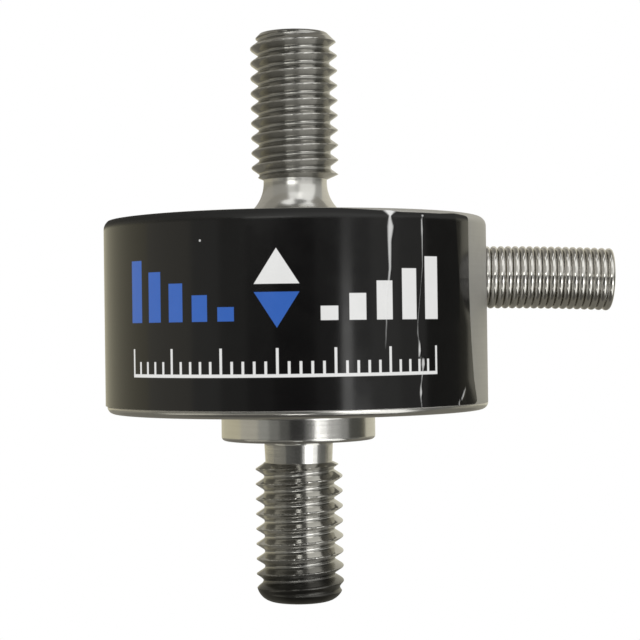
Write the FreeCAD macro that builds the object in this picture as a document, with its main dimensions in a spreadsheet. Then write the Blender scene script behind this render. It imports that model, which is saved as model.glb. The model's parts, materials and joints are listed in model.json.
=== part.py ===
import FreeCAD, Part
import math
import os

import Sketcher

# Miniature in-line load cell with a male stud at each end.
# The origin is on the load axis, in the plane of the flange that the lower stud pulls down on.
# Z is the load axis, and the strain relief leaves the body along X.

os.makedirs("parts", exist_ok=True)
doc = FreeCAD.newDocument("load_cell")
sheet = doc.addObject("Spreadsheet::Sheet", "size")

DRIVING_SIZES = (
    # Round body
    ("body_diameter", 25.4),
    ("body_height", 12.75),
    ("top_edge_radius", 0.6),
    ("bottom_edge_radius", 0.45),
    # Threaded studs, as plain shanks of the thread's outer diameter
    ("stud_diameter", 5.9),
    ("upper_stud_length", 12.5),
    ("upper_neck_diameter", 4.25),
    ("upper_neck_length", 0.45),
    ("upper_root_radius", 2.5),
    ("upper_tip_chamfer", 0.65),
    ("lower_stud_length", 10.8),
    ("lower_neck_diameter", 4.6),
    ("lower_neck_length", 1.75),
    ("lower_root_radius", 0.3),
    ("lower_tip_radius", 0.9),
    # Raised flange under the body
    ("flange_diameter", 10.3),
    ("flange_height", 1.95),
    ("flange_edge_radius", 0.25),
    ("flange_root_radius", 0.4),
    # Cavity, web and plug
    ("wall_thickness", 2.8),
    ("cavity_corner_radius", 0.5),
    ("web_thickness", 1.2),
    ("web_boss_diameter", 5.6),
    ("web_boss_height", 1.3),
    ("plug_ledge", 0.7),
    ("plug_thickness", 3.25),
    ("plug_clearance", 0.03),
    ("seam_chamfer", 0.2),
    # Strain relief: coil spring, its seat in the wall and the bush inside it
    ("outlet_depth", 4.0),
    ("coil_diameter", 4.2),
    ("coil_wire_diameter", 0.47),
    ("coil_pitch", 0.484),
    ("coil_turns", 20),
    ("coil_groove_depth", 0.14),
    ("coil_seat_depth", 1.0),
    ("coil_clearance", 0.04),
    ("bush_bore_diameter", 2.3),
    ("bush_flange_thickness", 0.5),
    ("bush_spigot_length", 2.3),
    ("bush_shank_diameter", 3.0),
    ("bush_shank_reach", 0.9),
    ("bush_clearance", 0.03),
    ("bush_mouth_chamfer", 0.2),
    # Label round the front of the body
    ("label_thickness", 0.12),
    ("label_margin", 0.52),
    ("label_wrap_angle", 60),
    ("label_end_angle", -26.5),
    ("label_span_angle", 181.5),
    ("label_end_slant", 1.1),
    ("label_corner_radius", 0.6),
    # Ring board on the plug
    ("board_clearance", 0.4),
    ("board_hole_diameter", 7.0),
    ("board_thickness", 0.8),
    # Foil gauges under the web
    ("gauge_boss_gap", 0.6),
    ("gauge_length", 3.5),
    ("gauge_width", 2.0),
    ("gauge_carrier_thickness", 0.06),
    ("gauge_foil_thickness", 0.03),
    ("gauge_margin", 0.25),
    ("gauge_strand_length", 1.8),
    ("gauge_strand_width", 0.13),
    ("gauge_strand_pitch", 0.23),
    ("gauge_tab_length", 0.8),
    ("gauge_tab_width", 0.55),
    # Ribbon leads from the gauges to the board
    ("lead_width", 0.35),
    ("lead_thickness", 0.08),
    ("lead_bend_radius", 0.4),
    ("lead_foot_length", 0.6),
    # Chip resistors on the board
    ("chip_length", 1.6),
    ("chip_width", 0.8),
    ("chip_height", 0.45),
    ("chip_cap_length", 0.3),
    ("chip_cap_thickness", 0.03),
    # Solder turrets on the board
    ("pin_base_diameter", 1.2),
    ("pin_base_height", 0.3),
    ("pin_diameter", 0.7),
    ("pin_waist_diameter", 0.5),
    ("pin_waist_length", 0.6),
    ("pin_height", 1.7),
)

# Directions about the load axis, in degrees from the outlet
GAUGE_ANGLES = (45, 135, 225, 315)
CHIP_ANGLES = (90, 165, 195, 270)
PIN_ANGLES = (-24, -8, 8, 24)

# An even number of strands brings both ends of the grid to the tabs
STRANDS = 6

for row, (name, value) in enumerate(DRIVING_SIZES, 1):
    sheet.set(f"A{row}", name)
    sheet.set(f"B{row}", str(value))
    sheet.setAlias(f"B{row}", name)
doc.recompute()

# Levels along the load axis
BODY_BOTTOM = "size.flange_height"
BODY_TOP = f"({BODY_BOTTOM} + size.body_height)"
UPPER_TIP = f"({BODY_TOP} + size.upper_stud_length)"
UPPER_ROOT_TOP = f"({BODY_TOP} + size.upper_root_radius)"
UPPER_THREAD_END = f"({UPPER_ROOT_TOP} + size.upper_neck_length)"
LOWER_TIP = "(-size.lower_stud_length)"
PLUG_SEAT = f"({BODY_BOTTOM} + size.plug_thickness)"
BOARD_TOP = f"({PLUG_SEAT} + size.board_thickness)"
WEB_BOTTOM = f"({BODY_TOP} - size.web_thickness)"
TAB_BOTTOM = f"({WEB_BOTTOM} - size.gauge_carrier_thickness - size.gauge_foil_thickness)"
OUTLET_LEVEL = f"({BODY_TOP} - size.outlet_depth)"

# Radii about the load axis
BODY_RADIUS = "(size.body_diameter / 2)"
STUD_RADIUS = "(size.stud_diameter / 2)"
CAVITY_RADIUS = f"({BODY_RADIUS} - size.wall_thickness)"
PLUG_RADIUS = f"({CAVITY_RADIUS} + size.plug_ledge)"
BOARD_RADIUS = f"({CAVITY_RADIUS} - size.board_clearance)"
BOARD_HOLE_RADIUS = "(size.board_hole_diameter / 2)"
BOARD_MIDDLE = f"(({BOARD_RADIUS} + {BOARD_HOLE_RADIUS}) / 2)"
BOSS_RADIUS = "(size.web_boss_diameter / 2)"
GAUGE_START = f"({BOSS_RADIUS} + size.gauge_boss_gap)"
GRID_START = f"({GAUGE_START} + size.gauge_margin)"
GRID_END = f"({GRID_START} + size.gauge_strand_length)"

# Distance of a solder tab's centre line from its gauge's own: the tab is flush with the outermost strand
OUTER_STRAND = f"({(STRANDS - 1) / 2} * size.gauge_strand_pitch + size.gauge_strand_width / 2)"
TAB_OFFSET = f"({OUTER_STRAND} - size.gauge_tab_width / 2)"

# Places along the outlet's axis, measured from the load axis
SEAT_FLOOR = f"({BODY_RADIUS} - size.coil_seat_depth - size.bush_flange_thickness)"
COIL_START = f"({SEAT_FLOOR} + size.bush_flange_thickness)"
COIL_END = f"({COIL_START} + size.coil_turns * size.coil_pitch)"
COIL_INSIDE = "(size.coil_diameter / 2 - size.coil_wire_diameter)"


def number(expression):
    """The present value of an expression on the sheet."""
    value = sheet.evalExpression(expression)
    return float(getattr(value, "Value", value))


def new_body(label):
    body = doc.addObject("PartDesign::Body", label)
    body.Label = label
    return body


def origin_part(body, role):
    """One of a body's own origin planes or axes, by its role."""
    return next(part for part in body.Origin.OriginFeatures if part.Role == role)


def new_sketch(body, name, plane, offset="0"):
    """A sketch on an origin plane, or on a parallel plane that far along its normal."""
    sketch = body.newObject("Sketcher::SketchObject", name)
    sketch.AttachmentSupport = [(origin_part(body, plane), "")]
    sketch.MapMode = "FlatFace"
    sketch.setExpression("AttachmentOffset.Base.z", offset)
    return sketch


def bind(sketch, kind, place, expression):
    """Add a dimension to a sketch and tie it to the sheet."""
    index = sketch.addConstraint(Sketcher.Constraint(kind, *place, number(expression)))
    sketch.setExpression(f"Constraints[{index}]", expression)


def fix_point(sketch, edge, end, across, up):
    """Tie one end of a sketch edge to two coordinates; a zero coordinate lies on the sketch axis."""
    for kind, axis, expression in (("DistanceX", -2, across), ("DistanceY", -1, up)):
        if expression == "0":
            sketch.addConstraint(Sketcher.Constraint("PointOnObject", edge, end, axis))
        else:
            bind(sketch, kind, (-1, 1, edge, end), expression)


def arc_between(start, end, radius, side):
    """An arc from start to end whose centre lies to the left of the chord for side 1, and to the right for -1."""
    chord = end - start
    middle = start + chord * 0.5
    left = FreeCAD.Vector(-chord.y, chord.x, 0)
    left.normalize()
    reach = math.sqrt(max(radius**2 - chord.Length**2 / 4, 0))
    crown = middle + left * side * (reach - radius)
    return Part.Arc(start, crown, end)


def outline(sketch, corners):
    """Draw a closed outline. A corner is (across, up), or (across, up, radius, side) at the end of an arc."""
    points = [FreeCAD.Vector(number(across), number(up), 0) for across, up, *_ in corners]
    starts = []
    ends = []
    for index, (across, up, *arc) in enumerate(corners):
        before = points[index - 1]
        if arc:
            radius, side = arc
            edge = sketch.addGeometry(arc_between(before, points[index], number(radius), side))
            bind(sketch, "Radius", (edge,), radius)
        else:
            side = 1
            edge = sketch.addGeometry(Part.LineSegment(before, points[index]))
        # A sketch arc always runs anticlockwise, so a clockwise one starts at the later corner
        starts.append((edge, 1 if side > 0 else 2))
        ends.append((edge, 2 if side > 0 else 1))
        fix_point(sketch, *ends[-1], across, up)
    for index, start in enumerate(starts):
        sketch.addConstraint(Sketcher.Constraint("Coincident", *ends[index - 1], *start))


def circle(sketch, up, radius):
    """Draw a circle whose centre is on the sketch's upright axis."""
    centre = FreeCAD.Vector(0, number(up), 0)
    edge = sketch.addGeometry(Part.Circle(centre, FreeCAD.Vector(0, 0, 1), number(radius)))
    fix_point(sketch, edge, 3, "0", up)
    bind(sketch, "Radius", (edge,), radius)


def revolve(body, sketch, axis, angle="360"):
    turned = body.newObject("PartDesign::Revolution", "turned")
    turned.Profile = sketch
    turned.ReferenceAxis = (origin_part(body, axis), [""])
    turned.setExpression("Angle", angle)
    doc.recompute()
    return turned


def pocket_outwards(body, sketch, length):
    """Cut along the sketch's normal."""
    before = body.Shape.Volume
    cut = body.newObject("PartDesign::Pocket", "cut")
    cut.Profile = sketch
    cut.Reversed = True
    cut.setExpression("Length", length)
    doc.recompute()
    if body.Shape.Volume >= before:
        raise RuntimeError(f"{sketch.Name} cuts nothing from {body.Label}")


def make_sensing_element():
    """Upper stud, flared root, thin web and outer wall, turned from one bar, with the outlet bored in its side."""
    body = new_body("sensing_element")
    neck = "(size.upper_neck_diameter / 2)"
    plug_bore = f"({PLUG_RADIUS} + size.plug_clearance)"
    boss_bottom = f"({WEB_BOTTOM} - size.web_boss_height)"
    sketch = new_sketch(body, "wall_profile", "XZ_Plane")
    outline(sketch, (
        ("0", UPPER_TIP),
        (f"{STUD_RADIUS} - size.upper_tip_chamfer", UPPER_TIP),
        (STUD_RADIUS, f"{UPPER_TIP} - size.upper_tip_chamfer"),
        (STUD_RADIUS, f"{UPPER_THREAD_END} + {STUD_RADIUS} - {neck}"),
        (neck, UPPER_THREAD_END),
        (neck, UPPER_ROOT_TOP),
        (f"{neck} + size.upper_root_radius", BODY_TOP, "size.upper_root_radius", 1),
        (f"{BODY_RADIUS} - size.top_edge_radius", BODY_TOP),
        (BODY_RADIUS, f"{BODY_TOP} - size.top_edge_radius", "size.top_edge_radius", -1),
        (BODY_RADIUS, f"{BODY_BOTTOM} + size.bottom_edge_radius"),
        (f"{BODY_RADIUS} - size.bottom_edge_radius", BODY_BOTTOM, "size.bottom_edge_radius", -1),
        (f"{plug_bore} + size.seam_chamfer", BODY_BOTTOM),
        (plug_bore, f"{BODY_BOTTOM} + size.seam_chamfer"),
        (plug_bore, PLUG_SEAT),
        (CAVITY_RADIUS, PLUG_SEAT),
        (CAVITY_RADIUS, f"{WEB_BOTTOM} - size.cavity_corner_radius"),
        (f"{CAVITY_RADIUS} - size.cavity_corner_radius", WEB_BOTTOM, "size.cavity_corner_radius", 1),
        (BOSS_RADIUS, WEB_BOTTOM),
        (BOSS_RADIUS, boss_bottom),
        ("0", boss_bottom),
    ))
    revolve(body, sketch, "Z_Axis")
    # The bush's hole starts inside the cavity and the spring's wider seat at the floor of the counterbore
    for name, start, radius in (
        ("bush_hole", f"{CAVITY_RADIUS} / 2", "size.bush_shank_diameter / 2 + size.bush_clearance"),
        ("spring_seat", SEAT_FLOOR, "size.coil_diameter / 2 + size.coil_clearance"),
    ):
        hole = new_sketch(body, name, "YZ_Plane", start)
        circle(hole, OUTLET_LEVEL, radius)
        pocket_outwards(body, hole, BODY_RADIUS)
    return body


def make_base_plug():
    """Plug that closes the body, with the raised flange, the neck and the lower stud."""
    body = new_body("base_plug")
    neck = "(size.lower_neck_diameter / 2)"
    flange = "(size.flange_diameter / 2)"
    sketch = new_sketch(body, "plug_profile", "XZ_Plane")
    outline(sketch, (
        ("0", LOWER_TIP),
        (f"{STUD_RADIUS} - size.lower_tip_radius", LOWER_TIP),
        (STUD_RADIUS, f"{LOWER_TIP} + size.lower_tip_radius", "size.lower_tip_radius", 1),
        (STUD_RADIUS, f"{neck} - {STUD_RADIUS} - size.lower_neck_length"),
        (neck, "-size.lower_neck_length"),
        (neck, "-size.lower_root_radius"),
        (f"{neck} + size.lower_root_radius", "0", "size.lower_root_radius", -1),
        (f"{flange} - size.flange_edge_radius", "0"),
        (flange, "size.flange_edge_radius", "size.flange_edge_radius", 1),
        (flange, f"{BODY_BOTTOM} - size.flange_root_radius"),
        (f"{flange} + size.flange_root_radius", BODY_BOTTOM, "size.flange_root_radius", -1),
        (f"{PLUG_RADIUS} - size.seam_chamfer", BODY_BOTTOM),
        (PLUG_RADIUS, f"{BODY_BOTTOM} + size.seam_chamfer"),
        (PLUG_RADIUS, PLUG_SEAT),
        ("0", PLUG_SEAT),
    ))
    revolve(body, sketch, "Z_Axis")
    return body


def make_label():
    """Film that covers the wall and turns in over the top edge; its right end slants and has round corners."""
    body = new_body("label")
    bottom = f"({BODY_BOTTOM} + size.label_margin)"
    outside = f"({BODY_RADIUS} + size.label_thickness)"
    bend_level = f"({BODY_TOP} - size.top_edge_radius)"
    bend_centre = f"({BODY_RADIUS} - size.top_edge_radius)"
    outer_bend = "(size.top_edge_radius + size.label_thickness)"
    along = "cos(size.label_wrap_angle * 1 deg)"
    up = "sin(size.label_wrap_angle * 1 deg)"
    film_top = f"({bend_level} + {outer_bend} * {up})"
    corner = "size.label_corner_radius"
    corner_edge = f"-size.label_end_slant - {corner}"
    above = f"{film_top} + {corner}"
    sketch = new_sketch(body, "film_profile", "XZ_Plane")
    outline(sketch, (
        (BODY_RADIUS, bottom),
        (outside, bottom),
        (outside, bend_level),
        (f"{bend_centre} + {outer_bend} * {along}", film_top, outer_bend, 1),
        (f"{bend_centre} + size.top_edge_radius * {along}", f"{bend_level} + size.top_edge_radius * {up}"),
        (BODY_RADIUS, bend_level, "size.top_edge_radius", -1),
    ))
    film = revolve(body, sketch, "Z_Axis", "size.label_span_angle")
    film.Reversed = True
    slant = new_sketch(body, "end_slant", "YZ_Plane")
    outline(slant, (
        ("size.label_end_slant", bottom),
        (f"-{corner}", bottom),
        ("0", f"{bottom} + {corner}", corner, 1),
        ("-size.label_end_slant", f"{film_top} - {corner}"),
        (corner_edge, film_top, corner, 1),
        (corner_edge, above),
        ("size.label_end_slant", above),
    ))
    doc.recompute()
    pocket_outwards(body, slant, outside)
    body.setExpression("Placement.Rotation.Angle", "size.label_end_angle")
    return body


def make_spring():
    """Close-wound coil that guards the cable, as a sleeve with one rounded rib for each turn of the wire."""
    body = new_body("strain_relief_spring")
    groove = "(size.coil_diameter / 2 - size.coil_groove_depth)"
    rib_radius = "((size.coil_pitch^2 / 4 + size.coil_groove_depth^2) / (2 * size.coil_groove_depth))"
    turns = int(number("size.coil_turns"))
    ribs = [(f"{COIL_END} - {turn} * size.coil_pitch", groove, rib_radius, 1) for turn in range(1, turns + 1)]
    sketch = new_sketch(body, "coil_profile", "XZ_Plane")
    outline(sketch, [(COIL_START, COIL_INSIDE), (COIL_END, COIL_INSIDE), (COIL_END, groove)] + ribs)
    revolve(body, sketch, "X_Axis")
    body.setExpression("Placement.Base.z", OUTLET_LEVEL)
    return body


def make_ferrule():
    """Flanged bush: its shank fills the hole in the wall and its spigot carries the root of the coil."""
    body = new_body("spring_ferrule")
    bore = "(size.bush_bore_diameter / 2)"
    shank = "(size.bush_shank_diameter / 2)"
    spigot = f"({COIL_INSIDE} - size.bush_clearance)"
    flange = "(size.coil_diameter / 2)"
    inner_end = f"({CAVITY_RADIUS} - size.bush_shank_reach)"
    outer_end = f"({COIL_START} + size.bush_spigot_length)"
    sketch = new_sketch(body, "bush_profile", "XZ_Plane")
    outline(sketch, (
        (inner_end, bore),
        (f"{outer_end} - size.bush_mouth_chamfer", bore),
        (outer_end, f"{bore} + size.bush_mouth_chamfer"),
        (outer_end, spigot),
        (COIL_START, spigot),
        (COIL_START, flange),
        (SEAT_FLOOR, flange),
        (SEAT_FLOOR, shank),
        (inner_end, shank),
    ))
    revolve(body, sketch, "X_Axis")
    body.setExpression("Placement.Base.z", OUTLET_LEVEL)
    return body


def make_board():
    """Ring board that lies on the plug."""
    body = new_body("circuit_board")
    sketch = new_sketch(body, "board_outline", "XY_Plane", PLUG_SEAT)
    for radius in (BOARD_RADIUS, BOARD_HOLE_RADIUS):
        circle(sketch, "0", radius)
    board = body.newObject("PartDesign::Pad", "board")
    board.Profile = sketch
    board.setExpression("Length", "size.board_thickness")
    return body


def new_box(name, length, width, height, along, across, up):
    """A box centred on its length and width at a place on the sheet, standing on its base."""
    box = doc.addObject("Part::Box", name)
    box.setExpression("Length", length)
    box.setExpression("Width", width)
    box.setExpression("Height", height)
    box.setExpression("Placement.Base.x", f"{along} - ({length}) / 2")
    box.setExpression("Placement.Base.y", f"{across} - ({width}) / 2")
    box.setExpression("Placement.Base.z", up)
    return box


def fuse(label, boxes):
    fused = doc.addObject("Part::MultiFuse", label)
    fused.Label = label
    fused.Shapes = boxes
    fused.Refine = True
    return fused


def make_gauge(number_in_set, angle):
    """Foil gauge: a carrier film under the web with a folded grid of strands and two solder tabs."""
    label = f"strain_gauge_{number_in_set}"
    foil = "size.gauge_foil_thickness"
    film_middle = f"({GAUGE_START} + size.gauge_length / 2)"
    film_bottom = f"({WEB_BOTTOM} - size.gauge_carrier_thickness)"
    width = "size.gauge_strand_width"
    middle_strand = (STRANDS - 1) / 2
    boxes = [new_box(f"{label}_film", "size.gauge_length", "size.gauge_width", "size.gauge_carrier_thickness",
                     film_middle, "0", film_bottom)]
    for strand in range(STRANDS):
        across = f"{strand - middle_strand} * size.gauge_strand_pitch"
        boxes.append(new_box(f"{label}_strand", "size.gauge_strand_length", width, foil,
                             f"({GRID_START} + {GRID_END}) / 2", across, TAB_BOTTOM))
    for turn in range(STRANDS - 1):
        across = f"({turn - middle_strand} + 1 / 2) * size.gauge_strand_pitch"
        # The strands are joined by turns at the hub's end and at the rim's end
        place = f"{GRID_START} + {width} / 2" if turn % 2 == 0 else f"{GRID_END} - {width} / 2"
        boxes.append(new_box(f"{label}_turn", width, f"size.gauge_strand_pitch + {width}", foil,
                             place, across, TAB_BOTTOM))
    for side in (-1, 1):
        boxes.append(new_box(f"{label}_tab", "size.gauge_tab_length", "size.gauge_tab_width", foil,
                             f"{GRID_END} + size.gauge_tab_length / 2", f"{side} * {TAB_OFFSET}", TAB_BOTTOM))
    gauge = fuse(label, boxes)
    gauge.Placement.Rotation = FreeCAD.Rotation(FreeCAD.Vector(0, 0, 1), angle)
    return gauge


def make_lead(number_in_set, angle, side):
    """Ribbon lead: a foot under a gauge tab, a leg down the cavity and a foot on the board."""
    body = new_body(f"gauge_lead_{number_in_set}")
    thick = "size.lead_thickness"
    bend = "size.lead_bend_radius"
    outer = f"({bend} + {thick})"
    first = f"({GRID_END} + size.gauge_tab_length)"
    start = f"({first} - size.lead_foot_length)"
    second = f"({first} + 2 * {bend} + {thick})"
    end = f"({second} + size.lead_foot_length)"
    sketch = new_sketch(body, "ribbon_profile", "XZ_Plane")
    outline(sketch, (
        (start, TAB_BOTTOM),
        (first, TAB_BOTTOM),
        (f"{first} + {outer}", f"{TAB_BOTTOM} - {outer}", outer, -1),
        (f"{first} + {outer}", f"{BOARD_TOP} + {outer}"),
        (second, f"{BOARD_TOP} + {thick}", bend, 1),
        (end, f"{BOARD_TOP} + {thick}"),
        (end, BOARD_TOP),
        (second, BOARD_TOP),
        (f"{first} + {bend}", f"{BOARD_TOP} + {outer}", outer, -1),
        (f"{first} + {bend}", f"{TAB_BOTTOM} - {outer}"),
        (first, f"{TAB_BOTTOM} - {thick}", bend, 1),
        (start, f"{TAB_BOTTOM} - {thick}"),
    ))
    ribbon = body.newObject("PartDesign::Pad", "ribbon")
    ribbon.Profile = sketch
    ribbon.Midplane = True
    ribbon.setExpression("Length", "size.lead_width")
    body.Placement.Rotation = FreeCAD.Rotation(FreeCAD.Vector(0, 0, 1), angle)
    body.setExpression("Placement.Base.x", f"{-side} * {TAB_OFFSET} * sin({angle} deg)")
    body.setExpression("Placement.Base.y", f"{side} * {TAB_OFFSET} * cos({angle} deg)")
    return body


def place_on_board(piece, angle):
    """Stand a piece on the middle of the ring board, facing out from the load axis."""
    piece.Placement.Rotation = FreeCAD.Rotation(FreeCAD.Vector(0, 0, 1), angle)
    piece.setExpression("Placement.Base.x", f"{BOARD_MIDDLE} * cos({angle} deg)")
    piece.setExpression("Placement.Base.y", f"{BOARD_MIDDLE} * sin({angle} deg)")
    piece.setExpression("Placement.Base.z", BOARD_TOP)


def make_chip(number_in_set, angle):
    """Chip resistor: a ceramic block with a metal cap at each end, laid across the radius."""
    label = f"chip_resistor_{number_in_set}"
    cap = "size.chip_cap_thickness"
    boxes = [new_box(f"{label}_block", "size.chip_width", "size.chip_length", "size.chip_height", "0", "0", cap)]
    for side in (-1, 1):
        across = f"{side} * (size.chip_length / 2 + {cap} - size.chip_cap_length / 2)"
        boxes.append(new_box(f"{label}_cap", f"size.chip_width + 2 * {cap}", "size.chip_cap_length",
                             f"size.chip_height + 2 * {cap}", "0", across, "0"))
    chip = fuse(label, boxes)
    place_on_board(chip, angle)
    return chip


def make_pin(number_in_set, angle):
    """Solder turret: a base, and a post with a waist that the conductor is wound into."""
    body = new_body(f"output_pin_{number_in_set}")
    base = "(size.pin_base_diameter / 2)"
    post = "(size.pin_diameter / 2)"
    waist = "(size.pin_waist_diameter / 2)"
    waist_top = "(size.pin_base_height + size.pin_waist_length)"
    sketch = new_sketch(body, "turret_profile", "XZ_Plane")
    outline(sketch, (
        ("0", "0"),
        (base, "0"),
        (base, "size.pin_base_height"),
        (waist, "size.pin_base_height"),
        (waist, waist_top),
        (post, f"{waist_top} + {post} - {waist}"),
        (post, "size.pin_height"),
        ("0", "size.pin_height"),
    ))
    revolve(body, sketch, "Z_Axis")
    place_on_board(body, angle)
    return body


pieces = [make_sensing_element(), make_base_plug(), make_label(), make_spring(), make_ferrule(), make_board()]
for index, angle in enumerate(GAUGE_ANGLES):
    pieces.append(make_gauge(index + 1, angle))
    pieces.append(make_lead(2 * index + 1, angle, -1))
    pieces.append(make_lead(2 * index + 2, angle, 1))
for index, angle in enumerate(CHIP_ANGLES):
    pieces.append(make_chip(index + 1, angle))
for index, angle in enumerate(PIN_ANGLES):
    pieces.append(make_pin(index + 1, angle))
doc.recompute()

failed = [item.Label for item in doc.Objects if "Invalid" in item.State or "Error" in item.State]
failed += [piece.Label for piece in pieces if piece.Shape.isNull() or not piece.Shape.isValid()]
failed += [piece.Label for piece in pieces if len(piece.Shape.Solids) != 1]
if failed:
    raise RuntimeError(f"not built: {sorted(set(failed))}")
for piece in pieces:
    piece.Shape.exportStep(f"parts/{piece.Label}.step")
    print(piece.Label, round(piece.Shape.Volume, 3))
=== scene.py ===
import json
import math

import bmesh
import bpy
from mathutils import Matrix, Vector


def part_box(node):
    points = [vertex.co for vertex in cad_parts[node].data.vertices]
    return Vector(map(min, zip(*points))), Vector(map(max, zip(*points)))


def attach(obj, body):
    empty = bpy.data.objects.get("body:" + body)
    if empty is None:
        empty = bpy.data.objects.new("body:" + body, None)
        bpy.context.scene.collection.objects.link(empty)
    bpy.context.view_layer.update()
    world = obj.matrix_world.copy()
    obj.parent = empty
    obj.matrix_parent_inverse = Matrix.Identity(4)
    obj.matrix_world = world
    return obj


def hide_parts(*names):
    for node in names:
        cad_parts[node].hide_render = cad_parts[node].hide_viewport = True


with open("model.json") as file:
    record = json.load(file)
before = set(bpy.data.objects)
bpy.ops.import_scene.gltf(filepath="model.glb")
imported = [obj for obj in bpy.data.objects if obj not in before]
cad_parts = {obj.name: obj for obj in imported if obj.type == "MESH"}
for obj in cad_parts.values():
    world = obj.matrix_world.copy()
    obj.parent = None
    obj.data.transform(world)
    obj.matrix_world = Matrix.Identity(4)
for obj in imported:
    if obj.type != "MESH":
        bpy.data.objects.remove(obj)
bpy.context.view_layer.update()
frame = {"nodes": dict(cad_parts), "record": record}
nodes = frame["nodes"]
mounts = {mount["name"]: mount for mount in frame["record"]["mounts"]}
mm = 0.001
mergeDistance = 0.0005 * mm
turnedEdge = 34  # degrees past which an edge of a turned piece is sharp
softEdge = 50  # the same on the spring and the label
print("frame loaded:", len(nodes), "nodes")


# A socket in a node tree. Arithmetic on it adds Math nodes, and node() adds any other node.
class Wire:
    def __init__(self, tree, socket=None):
        self.tree = tree
        self.socket = socket

    def node(self, kind, settings=None, links=None, out=0):
        made = self.tree.nodes.new(kind)
        for name, value in (settings or {}).items():
            setattr(made, name, value)
        for name, value in (links or {}).items():
            if isinstance(value, Wire):
                self.tree.links.new(value.socket, made.inputs[name])
            else:
                made.inputs[name].default_value = value
        return Wire(self.tree, made.outputs[out] if made.outputs else None)

    def join(self, operation, *values):
        return self.node("ShaderNodeMath", {"operation": operation}, dict(enumerate(values)))

    def math(self, operation, *others):
        return self.join(operation, self, *others)

    def clamp(self):
        return self.node("ShaderNodeClamp", links={"Value": self})

    def __add__(self, other):
        return self.join("ADD", self, other)

    def __radd__(self, other):
        return self.join("ADD", other, self)

    def __sub__(self, other):
        return self.join("SUBTRACT", self, other)

    def __rsub__(self, other):
        return self.join("SUBTRACT", other, self)

    def __mul__(self, other):
        return self.join("MULTIPLY", self, other)

    def __rmul__(self, other):
        return self.join("MULTIPLY", other, self)

    def __truediv__(self, other):
        return self.join("DIVIDE", self, other)

    def __rtruediv__(self, other):
        return self.join("DIVIDE", other, self)

    def __pow__(self, other):
        return self.join("POWER", self, other)

    def __gt__(self, other):
        return self.join("GREATER_THAN", self, other)

    def __lt__(self, other):
        return self.join("LESS_THAN", self, other)

    def __abs__(self):
        return self.join("ABSOLUTE", self)


# Finishes

def newFinish(name):
    finish = bpy.data.materials.new(name)
    finish.use_nodes = True
    tree = finish.node_tree
    place = Wire(tree).node("ShaderNodeTexCoord", out="Object")
    return finish, tree.nodes["Principled BSDF"], place


def setShader(shader, constants, links):
    for name, value in constants.items():
        shader.inputs[name].default_value = value
    for name, wire in links.items():
        wire.tree.links.new(wire.socket, shader.inputs[name])


def axes(place):
    split = place.node("ShaderNodeSeparateXYZ", links={0: place})
    return [Wire(place.tree, split.socket.node.outputs[index]) for index in range(3)]


def noise(place, scale, detail=3.0, roughness=0.5, vector=None):
    return place.node("ShaderNodeTexNoise", links={"Vector": vector or place, "Scale": scale, "Detail": detail,
                                                   "Roughness": roughness})


def mixColours(place, share, first, second):
    # a Mix node's colours are its inputs 6 and 7 and its output 2
    return place.node("ShaderNodeMix", {"data_type": "RGBA"}, {0: share, 6: first, 7: second}, out=2)


def bump(place, height, distance):
    return place.node("ShaderNodeBump", links={"Strength": 1.0, "Distance": distance, "Height": height})


# bright and dull parts of a metal, its roughness and how far that wanders, and the grain's spacing and depth
def metalFinish(name, look):
    finish, shader, place = newFinish(name)
    grain = noise(place, look["grain"])
    stains = noise(place, look["stains"])
    setShader(shader, {"Metallic": 1.0}, {
        "Base Color": mixColours(place, stains, look["bright"], look["dull"]),
        "Roughness": look["roughness"] + look["spread"] * grain,
        "Normal": bump(place, grain, look["depth"])})
    return finish


# turned stainless steel, shared by the sensing element and the plug
steel = {
    "bright": (0.69, 0.685, 0.67, 1),
    "dull": (0.55, 0.54, 0.515, 1),
    "stains": 420.0,
    "stainShare": 0.6,  # of the dull parts, and the rest follows the tool's rings
    "rings": 5200.0,
    "ringDepth": 0.0035 * mm,
    "spread": 0.06,
    "threadPolish": 0.5,
    "wallRoughness": 0.4,
    # the grime colour also paints shade over the thread
    "grimeAndShade": (0.09, 0.085, 0.07, 1),
    "grooveGrimeAndShade": 0.4,
    "grimeRoughness": 0.1,
    # the colour the stud darkens to towards its end
    "darkEnd": (0.014, 0.013, 0.011, 1),
    "leastDarkening": 0.7,
    "darkEndRoughness": 0.2,
}


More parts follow.
